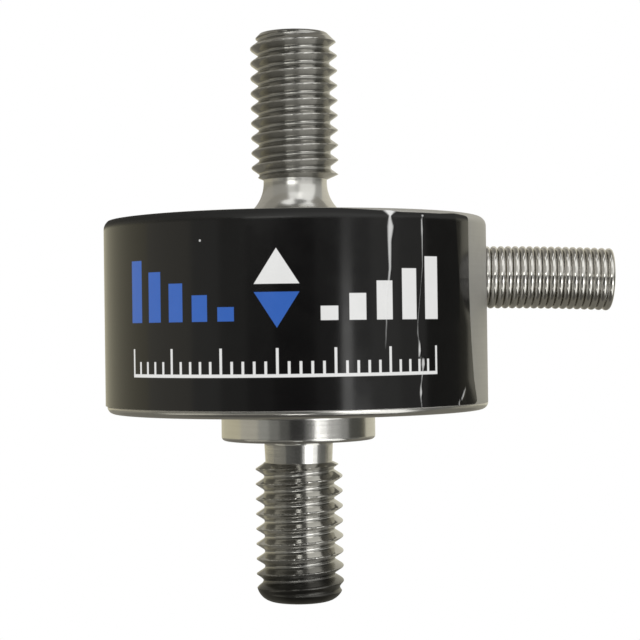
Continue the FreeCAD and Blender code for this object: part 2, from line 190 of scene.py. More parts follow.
def turnedSteel(name, stud):
    finish, shader, place = newFinish(name)
    x, y, z = axes(place)
    radius = (x * x + y * y).math("SQRT")
    ringPlace = place.node("ShaderNodeCombineXYZ", links={0: radius, 1: z, 2: 0.0})
    rings = noise(place, steel["rings"], roughness=0.65, vector=ringPlace)
    stains = noise(place, steel["stains"], 4.0, 0.6)
    # grime and painted shade lie on the thread, most in its root, and the stud is darker towards its end
    groove = ((stud["major"] - radius) / stud["depth"]).clamp()
    threaded = (z > stud["low"]) * (z < stud["high"])
    grimeAndShade = threaded * (stud["grimeAndShade"] + groove * steel["grooveGrimeAndShade"] * stains)
    # the stud is darker towards its end
    darkened = ((stud["darkFrom"] - z) / stud["darkOver"]).clamp()
    darkened = darkened * (steel["leastDarkening"] + (1 - steel["leastDarkening"]) * stains)
    dull = stains * steel["stainShare"] + rings * (1 - steel["stainShare"])
    metal = mixColours(place, dull, steel["bright"], steel["dull"])
    colour = mixColours(place, grimeAndShade, metal, steel["grimeAndShade"])
    # the wall is duller than the rest, and the rolled thread smoother
    wall = (radius > body["radius"] - body["topEdge"]) * (z > body["bottom"] + body["bottomEdge"])
    roughness = stud["roughness"] * (1 - steel["threadPolish"] * threaded) + steel["wallRoughness"] * wall
    roughness = roughness + steel["spread"] * stains + steel["spread"] * rings
    setShader(shader, {"Metallic": 1.0}, {
        "Base Color": mixColours(place, darkened, colour, steel["darkEnd"]),
        "Roughness": roughness + steel["grimeRoughness"] * grimeAndShade + steel["darkEndRoughness"] * darkened,
        "Normal": bump(place, rings, steel["ringDepth"])})
    return finish


# Meshes

def plainMesh(piece):
    # bake the modifiers into a plain mesh
    graph = bpy.context.evaluated_depsgraph_get()
    mesh = bpy.data.meshes.new_from_object(piece.evaluated_get(graph))
    piece.modifiers.clear()
    piece.data = mesh
    mesh.name = piece.name


def newPiece(name, mesh):
    piece = bpy.data.objects.new(name, mesh)
    bpy.context.scene.collection.objects.link(piece)
    return piece


def outwardNormals(mesh, sharpAngle):
    work = bmesh.new()
    work.from_mesh(mesh)
    bmesh.ops.remove_doubles(work, verts=work.verts, dist=mergeDistance)
    bmesh.ops.recalc_face_normals(work, faces=work.faces)
    for face in work.faces:
        face.smooth = True
    work.to_mesh(mesh)
    work.free()
    mesh.set_sharp_from_angle(angle=math.radians(sharpAngle))


def arc(centre, radius, start, end, steps):
    # angles in degrees: 0 points away from the axis of turning and 90 up along it
    turns = [math.radians(start + (end - start) * step / steps) for step in range(steps + 1)]
    return [(centre[0] + radius * math.cos(turn), centre[1] + radius * math.sin(turn)) for turn in turns]


def run(start, end, spacing):
    # evenly spaced points from start up to, and without, end
    count = max(1, round(math.dist(start, end) / spacing))
    return [tuple(a + (b - a) * step / count for a, b in zip(start, end)) for step in range(count)]


def outlineMesh(name, points):
    mesh = bpy.data.meshes.new(name)
    edges = [(index, index + 1) for index in range(len(points) - 1)]
    mesh.from_pydata([(radius, 0, height) for radius, height in points], edges, [])
    return mesh


def newTree(name, inputs):
    tree = bpy.data.node_groups.new(name, "GeometryNodeTree")
    for label, kind in inputs:
        tree.interface.new_socket(label, in_out="INPUT", socket_type=kind)
    tree.interface.new_socket("Part", in_out="OUTPUT", socket_type="NodeSocketGeometry")
    given = tree.nodes.new("NodeGroupInput")
    return tree, {label: Wire(tree, given.outputs[label]) for label, _ in inputs}


def closeTree(part, finish):
    # every tree ends in real, smooth, finished faces
    smooth = part.node("GeometryNodeSetShadeSmooth", links={"Geometry": part})
    real = part.node("GeometryNodeRealizeInstances", links={"Geometry": smooth})
    done = part.node("GeometryNodeSetMaterial", links={"Geometry": real, "Material": finish})
    part.node("NodeGroupOutput", links={"Part": done})


def runTree(piece, tree, values):
    step = piece.modifiers.new(tree.name, "NODES")
    step.node_group = tree
    sockets = {item.name: item.identifier for item in tree.interface.items_tree if item.in_out == "INPUT"}
    for label, value in values.items():
        step[sockets[label]] = value
    plainMesh(piece)


# crest and flank are shares of half a pitch, and the roundings are shares of the depth
thread = {
    "pitch": 1.0 * mm,
    "crest": 0.07,
    "flank": 0.74,
    "crestRounding": 0.14,
    "rootRounding": 0.25,
    "worn": 0.03 * mm,
    "endGap": 0.02 * mm,
    "rowsPerPitch": 28,
    "sides": 176,
}
rowSpacing = thread["pitch"] / thread["rowsPerPitch"]


# Turns an outline round the load axis and cuts a right-hand thread between two heights
def turnedTree():
    tree, given = newTree("turnedPart", (
        ("Outline", "NodeSocketGeometry"), ("Sides", "NodeSocketInt"), ("Major", "NodeSocketFloat"),
        ("Pitch", "NodeSocketFloat"), ("Depth", "NodeSocketFloat"), ("Thread Low", "NodeSocketFloat"),
        ("Thread High", "NodeSocketFloat"), ("Phase", "NodeSocketFloat"), ("Fade From", "NodeSocketFloat"),
        ("Fade Over", "NodeSocketFloat"), ("Finish", "NodeSocketMaterial")))
    sides = given["Sides"]
    outline = given["Outline"]
    count = sides.node("GeometryNodeAttributeDomainSize", links={"Geometry": outline})
    grid = sides.node("GeometryNodeMeshGrid", links={"Size X": count - 1, "Size Y": sides, "Vertices X": count,
                                                     "Vertices Y": sides + 1})
    position = sides.node("GeometryNodeInputPosition")
    row, column, _ = axes(position)
    index = (row + count / 2).math("FLOOR")
    turn = column / sides + 0.5
    picked = sides.node("GeometryNodeSampleIndex", {"data_type": "FLOAT_VECTOR"},
                        {"Geometry": outline, "Value": position, "Index": index})
    radius, _, height = axes(picked)
    travel = height / given["Pitch"] - turn + given["Phase"]
    # 0 on a crest and 1 in a root, with straight flanks and rounded ends
    flank = (abs(travel.math("FRACT") - 0.5) * 2 - thread["crest"]) / thread["flank"]
    rounded = flank.math("SMOOTH_MIN", 1.0, thread["rootRounding"])
    rounded = rounded.math("SMOOTH_MAX", 0.0, thread["crestRounding"])
    depth = given["Depth"] * ((height - given["Fade From"]) / given["Fade Over"]).clamp()
    excess = radius - given["Major"] + depth * rounded
    threaded = (height > given["Thread Low"]) * (height < given["Thread High"])
    cut = radius - threaded * excess.math("MAXIMUM", 0.0)
    angle = turn * math.tau
    placed = sides.node("ShaderNodeCombineXYZ", links={0: cut * angle.math("COSINE"), 1: cut * angle.math("SINE"),
                                                       2: height})
    turned = sides.node("GeometryNodeSetPosition", links={"Geometry": grid, "Position": placed})
    closed = sides.node("GeometryNodeMergeByDistance", links={"Geometry": turned, "Distance": mergeDistance})
    closeTree(closed, given["Finish"])
    return tree


turnedPart = turnedTree()


def turnPiece(name, outline, stud, finish, sides=thread["sides"]):
    piece = newPiece(name, outlineMesh(name, outline))
    runTree(piece, turnedPart, {
        "Sides": sides, "Major": stud["major"], "Pitch": thread["pitch"], "Depth": stud["depth"],
        "Thread Low": stud["low"], "Thread High": stud["high"], "Phase": stud["phase"],
        "Fade From": stud["fadeFrom"], "Fade Over": stud["fadeOver"], "Finish": finish})
    outwardNormals(piece.data, turnedEdge)
    return piece


def settle(piece, node):
    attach(piece, "root")
    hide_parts(node)
    print(piece.name, "made:", len(piece.data.polygons), "faces")


# Sensing element: upper stud, flared root, body top, wall and the cavity under the web

bodyLow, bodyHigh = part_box("sensing_element")
plugLow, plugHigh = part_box("base_plug")
body = {
    "radius": bodyHigh.x,
    "bottom": bodyLow.z,
    "top": 14.7 * mm,
    "tip": bodyHigh.z,
    "topEdge": 0.6 * mm,
    "bottomEdge": 0.45 * mm,
    "neck": 2.125 * mm,
    "neckLength": 0.2 * mm,
    "rootRadius": 2.5 * mm,
    "runOut": 0.35 * mm,
    "tipChamfer": 0.65 * mm,
    "cavity": 9.9 * mm,
    "cavityCorner": 0.5 * mm,
    "web": 1.2 * mm,
    "boss": 2.8 * mm,
    "bossHeight": 1.3 * mm,
    "plugGap": 0.03 * mm,
    "seam": 0.2 * mm,
    "wallRows": 0.5 * mm,
    "wideRows": 0.6 * mm,
}
farBelow = -1  # a height under everything, so nothing fades and nothing is darkened there
upperStud = {
    "major": mounts["upper_stud"]["dims"]["r_mm"] * mm - thread["worn"],
    "depth": 0.52 * mm,
    "low": body["top"] + body["rootRadius"] + body["neckLength"],
    "high": body["tip"] - thread["endGap"],
    "phase": 0.79,
    "fadeFrom": farBelow,
    "fadeOver": 1.0 * mm,
    "roughness": 0.15,
    # grime and painted shade darken the thread this much
    "grimeAndShade": 0.29,
    "darkFrom": farBelow,
    "darkOver": 1.0 * mm,
}
outlet = {
    "height": mounts["cable_exit"]["pos_m"][2],
    "seat": 2.14 * mm,
    "hole": 1.53 * mm,
    "floor": 11.2 * mm,
    "reach": 16 * mm,
    "start": 5 * mm,
    "sides": 96,
}
noThread = {"major": 1.0, "depth": 0.0, "low": 0.0, "high": 0.0, "phase": 0.0, "fadeFrom": 0.0, "fadeOver": 1.0}


def bodyOutline():
    wall = body["radius"]
    top = body["top"]
    tip = body["tip"]
    major = upperStud["major"]
    plugBore = plugHigh.x + body["plugGap"]
    webBottom = top - body["web"]
    bossBottom = webBottom - body["bossHeight"]
    threadEnd = upperStud["low"]
    chamferFoot = tip - body["tipChamfer"]
    runOutTop = threadEnd + body["runOut"]
    flareTop = threadEnd - body["neckLength"]
    flareEnd = body["neck"] + body["rootRadius"]
    wallTop = top - body["topEdge"]
    wallFoot = body["bottom"] + body["bottomEdge"]
    cavity = body["cavity"]
    corner = body["cavityCorner"]
    points = [(0, tip)]
    points += run((major - body["tipChamfer"], tip), (major, chamferFoot), rowSpacing)
    points += run((major, chamferFoot), (major, runOutTop), rowSpacing)
    points += run((major, runOutTop), (body["neck"], threadEnd), rowSpacing)
    points += run((body["neck"], threadEnd), (body["neck"], flareTop), 2 * rowSpacing)
    points += arc((flareEnd, flareTop), body["rootRadius"], 180, 270, steps=24)
    points += run((flareEnd + rowSpacing, top), (wall - body["topEdge"], top), body["wideRows"])
    points += arc((wall - body["topEdge"], wallTop), body["topEdge"], 90, 0, steps=10)
    points += run((wall, wallTop - rowSpacing), (wall, wallFoot), body["wallRows"])
    points += arc((wall - body["bottomEdge"], wallFoot), body["bottomEdge"], 0, -90, steps=8)
    points += [(plugBore + body["seam"], body["bottom"]), (plugBore, body["bottom"] + body["seam"])]
    points += [(plugBore, plugHigh.z), (cavity, plugHigh.z)]
    points += run((cavity, plugHigh.z + rowSpacing), (cavity, webBottom - corner), body["wideRows"])
    points += arc((cavity - corner, webBottom - corner), corner, 0, 90, steps=6)
    points += [(body["boss"], webBottom), (body["boss"], bossBottom), (0, bossBottom)]
    return points


def boreOutlet(piece):
    # stepped cutter, turned on its own axis and laid along the outlet
    steps = [(0, outlet["start"]), (outlet["hole"], outlet["start"]), (outlet["hole"], outlet["floor"]),
             (outlet["seat"], outlet["floor"]), (outlet["seat"], outlet["reach"]), (0, outlet["reach"])]
    cutter = turnPiece("outletCutter", steps, noThread, None, outlet["sides"])
    cutter.data.transform(Matrix.Translation((0, 0, outlet["height"])) @ Matrix.Rotation(math.pi / 2, 4, "Y"))
    cut = piece.modifiers.new("outlet", "BOOLEAN")
    cut.object = cutter
    cut.operation = "DIFFERENCE"
    cut.solver = "EXACT"
    plainMesh(piece)
    bpy.data.objects.remove(cutter)
    outwardNormals(piece.data, turnedEdge)


sensingElement = turnPiece("sensingElement", bodyOutline(), upperStud, turnedSteel("bodySteel", upperStud))
boreOutlet(sensingElement)
settle(sensingElement, "sensing_element")


# Base plug: lower stud, neck, raised flange and the plug that closes the cavity

plug = {
    "flange": 5.15 * mm,
    "flangeEdge": 0.25 * mm,
    "flangeRoot": 0.4 * mm,
    "neck": 2.3 * mm,
    "neckTaper": 0.06 * mm,
    "neckLength": 1.5 * mm,
    "runOut": 0.3 * mm,
    "root": 0.3 * mm,
    "tipRadius": 1.2 * mm,
    "seam": 0.2 * mm,
}
lowerStud = {
    "major": mounts["lower_stud"]["dims"]["r_mm"] * mm - thread["worn"],
    "depth": 0.57 * mm,
    "low": plugLow.z + thread["endGap"],
    "high": -plug["neckLength"],
    "phase": 0.96,
    "fadeFrom": plugLow.z + 0.2 * mm,
    "fadeOver": 1.5 * mm,
    "roughness": 0.12,
    # grime and painted shade darken the thread this much
    "grimeAndShade": 0.08,
    "darkFrom": -7.5 * mm,
    "darkOver": 2.2 * mm,
}


def plugOutline():
    major = lowerStud["major"]
    tip = plugLow.z
    threadTop = lowerStud["high"]
    underside = body["bottom"]
    edge = plug["flangeEdge"]
    root = plug["flangeRoot"]
    points = [(0, tip)]
    points += arc((major - plug["tipRadius"], tip + plug["tipRadius"]), plug["tipRadius"], -90, 0, steps=48)
    points += run((major, tip + plug["tipRadius"] + rowSpacing), (major, threadTop - plug["runOut"]), rowSpacing)
    points += run((major, threadTop - plug["runOut"]), (plug["neck"], threadTop), rowSpacing)
    neckRun = run((plug["neck"], threadTop), (plug["neck"], -plug["root"]), 2 * rowSpacing)
    for step, (radius, height) in enumerate(neckRun):
        points.append((radius - plug["neckTaper"] * (1 - step / len(neckRun)), height))
    points += arc((plug["neck"] + plug["root"], -plug["root"]), plug["root"], 180, 90, steps=6)
    points += arc((plug["flange"] - edge, edge), edge, -90, 0, steps=6)
    points += run((plug["flange"], edge + rowSpacing), (plug["flange"], underside - root), 2 * rowSpacing)
    points += arc((plug["flange"] + root, underside - root), root, 180, 90, steps=6)
    points += [(plugHigh.x - plug["seam"], underside), (plugHigh.x, underside + plug["seam"])]
    points += [(plugHigh.x, plugHigh.z), (0, plugHigh.z)]
    return points


basePlug = turnPiece("basePlug", plugOutline(), lowerStud, turnedSteel("plugSteel", lowerStud))
settle(basePlug, "base_plug")


# Strain relief: one wire wound close along the outlet

springLow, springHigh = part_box("strain_relief_spring")
coil = {
    "wire": 0.235 * mm,
    "pitch": 0.484 * mm,
    "stepsPerTurn": 48,
    "wireSides": 14,
    "droop": 0.25 * mm,
    "outside": (springHigh.z - springLow.z) / 2,
}
springWire = {"bright": (0.7, 0.69, 0.67, 1), "dull": (0.58, 0.56, 0.52, 1), "grain": 2600.0, "stains": 500.0,
              "roughness": 0.09, "spread": 0.12, "depth": 0.0015 * mm}


def coilTree():
    tree, given = newTree("closeWoundCoil", (
        ("Outline", "NodeSocketGeometry"), ("Steps", "NodeSocketInt"), ("Turns", "NodeSocketFloat"),
        ("Radius", "NodeSocketFloat"), ("Length", "NodeSocketFloat"), ("Start", "NodeSocketVector"),
        ("Droop", "NodeSocketFloat"), ("Wire", "NodeSocketFloat"), ("Wire Sides", "NodeSocketInt"),
        ("Finish", "NodeSocketMaterial")))
    steps = given["Steps"]
    spiral = steps.node("GeometryNodeCurveSpiral", links={
        "Resolution": steps, "Rotations": given["Turns"], "Start Radius": given["Radius"],
        "End Radius": given["Radius"], "Height": given["Length"]})
    across, up, along = axes(steps.node("GeometryNodeInputPosition"))
    reach = along / given["Length"]
    sunk = up - given["Droop"] * reach * reach
    laid = steps.node("ShaderNodeCombineXYZ", links={0: along, 1: across, 2: sunk})
    placed = steps.node("ShaderNodeVectorMath", {"operation": "ADD"}, {0: laid, 1: given["Start"]})
    path = steps.node("GeometryNodeSetPosition", links={"Geometry": spiral, "Position": placed})
    section = steps.node("GeometryNodeCurvePrimitiveCircle", links={"Resolution": given["Wire Sides"],
                                                                    "Radius": given["Wire"]})
    wound = steps.node("GeometryNodeCurveToMesh", links={"Curve": path, "Profile Curve": section,
                                                         "Fill Caps": True})
    closeTree(wound, given["Finish"])
    return tree


def windSpring(finish):
    length = springHigh.x - springLow.x - 2 * coil["wire"]
    piece = newPiece("strainReliefSpring", bpy.data.meshes.new("strainReliefSpring"))
    runTree(piece, coilTree(), {
        "Steps": coil["stepsPerTurn"], "Turns": length / coil["pitch"], "Radius": coil["outside"] - coil["wire"],
        "Length": length, "Start": (springLow.x + coil["wire"], 0, outlet["height"]), "Droop": coil["droop"],
        "Wire": coil["wire"], "Wire Sides": coil["wireSides"], "Finish": finish})
    outwardNormals(piece.data, softEdge)
    return piece


strainReliefSpring = windSpring(metalFinish("springWire", springWire))
settle(strainReliefSpring, "strain_relief_spring")


# Label film round the front of the wall. Its own measures are millimetres along the wall from the front and up
# from its lower edge.

film = {
    "thickness": 0.115,
    "left": -26.15,
    "right": 12.99,
    "rightLow": 0.89,
    "straightAbove": 8.6,
    "corner": 0.4,
    "wrap": 50,
    "wrapRight": 28,
    "slopeFrom": 2.3,
    "slopeOver": 4.5,
    "fold": 11.2,
    "foldSlope": 0.08,
    "foldFrom": 9.8,
    "foldLift": 0.12,
    "foldLow": 5,
    "foldOver": 3,
    "looseFrom": 12.4,
    "looseOver": 1.4,
    "looseBelow": 1.5,
    "looseLift": 0.1,
    "rows": 84,
    "bendRows": 10,
    "endColumns": 36,
}
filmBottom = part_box("label")[0].z
filmWall = (body["top"] - body["topEdge"] - filmBottom) / mm  # height at which it bends over the top edge
filmBend = body["topEdge"] + film["thickness"] * mm
filmSpan = filmWall + filmBend / mm * math.radians(film["wrap"])
# from each place along the wall, how far apart the columns of the mesh are
columnSpacing = ((film["left"], 0.3), (5.2, 0.04), (6.5, 0.12), (7.6, 0.035), (8.6, 0.12), (11.1, 0.04),
                 (11.9, None))

# rows of a crease: height, place along the wall, half its width and how white it is worn, which also paints its
# highlight
creases = (
    ((3.6, 5.46, 0.03, 0), (4.0, 5.48, 0.04, 0.15), (5.2, 5.54, 0.045, 0.3), (6.7, 5.56, 0.05, 0.4),
     (7.5, 5.70, 0.06, 0.5), (8.54, 5.83, 0.08, 0.65), (10.18, 5.82, 0.125, 0.7), (10.6, 5.86, 0.17, 0.75),
     (11.04, 5.90, 0.22, 0.78), (11.55, 5.86, 0.1, 0.7), (11.75, 5.88, 0.07, 0.95), (11.95, 5.89, 0.22, 1),
     (12.2, 5.90, 0.42, 1), (12.4, 5.90, 0.44, 1)),
    ((0, 8.04, 0.03, 0.2), (0.2, 8.03, 0.03, 0.3), (0.61, 7.97, 0.04, 0.4), (0.9, 7.98, 0.085, 0.8),
     (1.29, 7.98, 0.05, 0.5), (1.5, 8.03, 0.03, 0.3), (2.39, 8.17, 0.07, 0.5), (2.65, 8.19, 0.13, 0.75),
     (2.95, 8.19, 0.10, 0.7), (3.05, 8.0, 0.03, 0.2), (3.16, 7.89, 0.06, 0.5), (3.5, 7.92, 0.09, 0.85),
     (3.94, 7.91, 0.06, 0.6), (4.2, 7.86, 0.03, 0.2), (4.5, 7.80, 0.04, 0.35), (5.2, 7.81, 0.03, 0.25),
     (7.5, 8.1, 0.03, 0.1), (8.74, 8.25, 0.03, 0.3), (10.4, 8.24, 0.045, 0.5), (10.9, 8.23, 0.07, 0.6),
     (11.5, 8.22, 0.05, 0.55), (11.7, 8.28, 0.03, 0.1), (11.9, 8.31, 0.1, 0.8), (12.05, 8.31, 0.04, 0)),
    ((0, 11.54, 0.045, 0.5), (0.2, 11.5, 0.05, 0.65), (0.3, 11.62, 0.04, 0.25), (0.41, 11.85, 0.06, 0.6),
     (0.6, 12.0, 0.07, 0.8), (0.95, 12.23, 0.05, 0.5), (1.1, 12.45, 0.03, 0)),
)
creaseWearAndHighlight = {"lift": 0.05, "reach": 1.15, "fall": 1.6}
speck = {"along": -6.0, "up": 10.35, "radius": 0.09, "white": 0.7}

# printed shapes: push bars on one side of a sign and pull bars on the other, over a scale with its zero between
ink = {
    "edge": 0.035,
    "scuffs": 900.0,
    "scuffDepth": 0.0015 * mm,
    "whiteFade": 0.07,
    "blueFade": 0.1,
    "rubOver": 0.4,
    "rubBelow": 0.08,
    "roughness": {"film": 0.1, "scuffs": 0.08, "white": 0.1, "worn": 0.2, "rubbed": 0.6},
    "black": (0.0034, 0.0031, 0.0034, 1),
    "dusty": (0.0055, 0.0052, 0.005, 1),
    "white": (0.83, 0.83, 0.82, 1),
    "blue": (0.035, 0.13, 0.5, 1),
    # the white of worn creases, which also paints their highlight
    "worn": (0.78, 0.78, 0.77, 1),
    "middle": -1.2,
    "bars": {"from": 2.6, "pitch": 1.75, "width": 1.1, "count": 5, "bottom": 5.4, "first": 0.9, "rise": 0.75},
    "scale": {"reach": 10.6, "step": 0.7, "width": 0.2, "bottom": 2.2, "short": 0.8, "long": 1.6, "every": 5,
              "line": 0.2},
    "sign": {"halfWidth": 1.4, "gap": 0.45, "height": 2.2, "level": 7.4},
}


def labelFilm(name):
    finish, shader, place = newFinish(name)
    along, up, _ = axes(place.node("ShaderNodeUVMap", {"uv_map": "print"}))
    edge = ink["edge"]

    def between(value, low, high):
        return ((value - low) / edge).clamp() * ((high - value) / edge).clamp()

    off = along - ink["middle"]
    aside = abs(off)
    bars = ink["bars"]
    slot = (aside - bars["from"]) / bars["pitch"]
    step = slot.math("FLOOR")
    barTop = bars["bottom"] + bars["first"] + bars["rise"] * step
    barInk = between((slot - step) * bars["pitch"], 0, bars["width"]) * between(up, bars["bottom"], barTop)
    barInk = barInk * between(step, -0.5, bars["count"] - 0.5)

    scale = ink["scale"]
    count = (off / scale["step"]).math("ROUND")
    longer = count.math("FLOORED_MODULO", scale["every"]) < 0.5
    tickTop = scale["bottom"] + scale["short"] + (scale["long"] - scale["short"]) * longer
    tickInk = ((scale["width"] / 2 - abs(off - count * scale["step"])) / edge).clamp()
    tickInk = tickInk * between(up, scale["bottom"], tickTop)
    lineInk = between(up, scale["bottom"] - scale["line"], scale["bottom"] + edge)
    scaleInk = (tickInk + lineInk) * between(off, -scale["reach"], scale["reach"])

    sign = ink["sign"]
    arrows = []
    for height in (up - sign["level"] - sign["gap"] / 2, sign["level"] - sign["gap"] / 2 - up):
        halfWidth = sign["halfWidth"] * (1 - height / sign["height"])
        arrows.append(((halfWidth - aside) / edge).clamp() * (height / edge).clamp())

    scuffs = noise(place, ink["scuffs"], 4.0, 0.6)
    rubbed = ((up - filmWall + ink["rubBelow"]) / ink["rubOver"]).clamp()
    away = ((along - speck["along"]) ** 2 + (up - speck["up"]) ** 2).math("SQRT")
    wearAndHighlight = place.node("ShaderNodeAttribute", {"attribute_name": "wearAndHighlight"}, out="Fac")
    wearAndHighlight = (wearAndHighlight + speck["white"] * ((speck["radius"] - away) / edge).clamp()).clamp()
    whiteInk = (barInk * (off > 0) + scaleInk + arrows[0]).clamp()
    blueInk = (barInk * (off < 0) + arrows[1]).clamp()
    colour = mixColours(place, scuffs, ink["black"], ink["dusty"])
    colour = mixColours(place, whiteInk * (1 - ink["whiteFade"] + ink["whiteFade"] * scuffs), colour, ink["white"])
    colour = mixColours(place, blueInk * (1 - ink["blueFade"] + ink["blueFade"] * scuffs), colour, ink["blue"])
    # worn white film over the creases, partly a painted highlight
    colour = mixColours(place, wearAndHighlight, colour, ink["worn"])
    rough = ink["roughness"]
    roughness = rough["film"] + rough["scuffs"] * scuffs + rough["white"] * whiteInk + rough["worn"] * wearAndHighlight
    setShader(shader, {}, {
        "Base Color": colour,
        "Roughness": roughness + rough["rubbed"] * rubbed,
        "Normal": bump(place, scuffs, ink["scuffDepth"])})
    return finish


def clipped(value):
    return min(1, max(0, value))


def filmEnd(height):
    # the right end bends outwards towards its foot, and its corners are rounded
    low = max(film["straightAbove"] - height, 0) / film["straightAbove"]
    edge = min(height, filmSpan - height, film["corner"])
    inset = film["corner"] - math.sqrt(max(film["corner"] ** 2 - (film["corner"] - edge) ** 2, 0))
    return film["right"] + film["rightLow"] * low ** 2 - inset


def filmColumns():
    columns = []
    for (start, spacing), (end, _) in zip(columnSpacing, columnSpacing[1:]):
        count = round((end - start) / spacing)
        columns += [start + (end - start) * step / count for step in range(count)]
    return columns


def creaseAt(rows, height):
    for (low, *first), (high, *second) in zip(rows, rows[1:]):
        if low <= height <= high:
            share = (height - low) / (high - low)
            return [a + (b - a) * share for a, b in zip(first, second)]
    return None


def wearHighlightAndLift(along, height):
    wearAndHighlight = 0
    lift = 0
    for rows in creases:
        found = creaseAt(rows, height)
        if found:
            middle, halfWidth, white = found
            off = abs(along - middle) / halfWidth
            # crease whitening: worn film and painted highlight
            wearAndHighlight = max(wearAndHighlight, white * clipped(creaseWearAndHighlight["fall"] * (creaseWearAndHighlight["reach"] - off)))
            lift += creaseWearAndHighlight["lift"] * white * math.exp(-off ** 2)
    return wearAndHighlight, lift


def filmPlace(along, height, end):
    wearAndHighlight, lift = wearHighlightAndLift(along, height)
    # the right end has a blunt fold near its top, and its lower corner stands off the wall
    fold = film["fold"] + film["foldSlope"] * (filmSpan - height)
    before = (along - film["foldFrom"]) / (fold - film["foldFrom"])
    after = (end - along) / (end - fold)
    lift += film["foldLift"] * clipped((height - film["foldLow"]) / film["foldOver"]) * max(0, min(before, after))
    loose = max(0, 1 - height / film["looseBelow"]) * max(0, (along - film["looseFrom"]) / film["looseOver"])
    lift += film["looseLift"] * loose
    # over the top edge it bends less towards its right end
    slope = clipped((along - film["slopeFrom"]) / film["slopeOver"])
    past = max(height - filmWall, 0) / (filmSpan - filmWall)
    bend = past * math.radians(film["wrap"] + (film["wrapRight"] - film["wrap"]) * slope)
    reach = filmBend + lift * mm
    out = body["radius"] - body["topEdge"] + reach * math.cos(bend)
    turn = along * mm / body["radius"]
    low = filmBottom + min(height, filmWall) * mm
    return (out * math.sin(turn), -out * math.cos(turn), low + reach * math.sin(bend)), wearAndHighlight


def makeLabel(finish):
    heights = [filmWall * row / film["rows"] for row in range(film["rows"])]
    heights += [filmWall + (filmSpan - filmWall) * row / film["bendRows"] for row in range(film["bendRows"] + 1)]
    fixed = filmColumns()
    lastFixed = columnSpacing[-1][0]
    work = bmesh.new()
    wearAndHighlightLayer = work.verts.layers.float.new("wearAndHighlight")
    printLayer = work.loops.layers.uv.new("print")
    places = {}
    grid = []
    for height in heights:
        end = filmEnd(height)
        columns = fixed + [lastFixed + (end - lastFixed) * step / film["endColumns"]
                           for step in range(film["endColumns"] + 1)]
        line = []
        for along in columns:
            place, wearAndHighlight = filmPlace(along, height, end)
            vert = work.verts.new(place)
            vert[wearAndHighlightLayer] = wearAndHighlight
            places[vert] = (along, height)
            line.append(vert)
        grid.append(line)
    for lower, upper in zip(grid, grid[1:]):
        for column in range(len(lower) - 1):
            face = work.faces.new((lower[column], lower[column + 1], upper[column + 1], upper[column]))
            face.smooth = True
            for loop in face.loops:
                loop[printLayer].uv = places[loop.vert]
    mesh = bpy.data.meshes.new("labelSkin")
    work.to_mesh(mesh)
    work.free()
    mesh.materials.append(finish)
    piece = newPiece("labelSkin", mesh)
    back = piece.modifiers.new("thickness", "SOLIDIFY")
    back.thickness = film["thickness"] * mm
    back.offset = -1
    plainMesh(piece)
    piece.data.set_sharp_from_angle(angle=math.radians(softEdge))
    return piece


labelSkin = makeLabel(labelFilm("blackFilm"))
settle(labelSkin, "label")


# Pieces that keep their construction shape

bushMetal = {"bright": (0.72, 0.55, 0.27, 1), "dull": (0.48, 0.35, 0.15, 1), "grain": 900.0, "stains": 600.0,
             "roughness": 0.24, "spread": 0.2, "depth": 0.004 * mm}
leadCopper = {"bright": (0.82, 0.45, 0.27, 1), "dull": (0.62, 0.3, 0.16, 1), "grain": 1800.0, "stains": 700.0,
              "roughness": 0.25, "spread": 0.15, "depth": 0.001 * mm}
turretGold = {"bright": (0.9, 0.7, 0.32, 1), "dull": (0.76, 0.56, 0.22, 1), "grain": 2200.0, "stains": 900.0,
              "roughness": 0.18, "spread": 0.14, "depth": 0.001 * mm}
board = {"mask": (0.012, 0.1, 0.045, 1), "track": (0.03, 0.2, 0.085, 1), "shade": (0.02, 0.05, 0.03, 1),
         "shading": 0.25, "weave": 1500.0, "weaveDepth": 0.003 * mm, "roughness": 0.3, "spread": 0.2,
         "trackRadii": (5.0 * mm, 8.1 * mm), "trackWidth": 0.35 * mm}
gauge = {"film": (0.5, 0.25, 0.06, 1), "foil": (0.55, 0.5, 0.44, 1), "shade": (0.3, 0.2, 0.1, 1), "shading": 0.3,
         "grain": 2400.0, "roughness": 0.3, "spread": 0.15, "foilTop": 0.027 * mm}
chip = {"glaze": (0.03, 0.03, 0.034, 1), "tin": (0.66, 0.66, 0.64, 1), "shade": (0.1, 0.1, 0.1, 1), "shading": 0.2,
        "grain": 2600.0, "roughness": 0.22, "spread": 0.2, "capFrom": 0.53 * mm}


def boardMask(name):
    finish, shader, place = newFinish(name)
    x, y, _ = axes(place)
    radius = (x * x + y * y).math("SQRT")
    weave = noise(place, board["weave"])
    onTrack = [abs(radius - track) < board["trackWidth"] / 2 for track in board["trackRadii"]]
    colour = mixColours(place, onTrack[0] + onTrack[1], board["mask"], board["track"])
    setShader(shader, {}, {
        "Base Color": mixColours(place, board["shading"] * weave, colour, board["shade"]),
        "Roughness": board["roughness"] + board["spread"] * weave,
        "Normal": bump(place, weave, board["weaveDepth"])})
    return finish


def gaugeFoil(name, low):
    finish, shader, place = newFinish(name)
    _, _, z = axes(place)
    grain = noise(place, gauge["grain"])
    # the foil is the lowest layer
    foil = z < low + gauge["foilTop"]
    colour = mixColours(place, foil, gauge["film"], gauge["foil"])
    setShader(shader, {}, {
        "Base Color": mixColours(place, gauge["shading"] * grain, colour, gauge["shade"]),
        "Metallic": foil,
        "Roughness": gauge["roughness"] + gauge["spread"] * grain})
    return finish


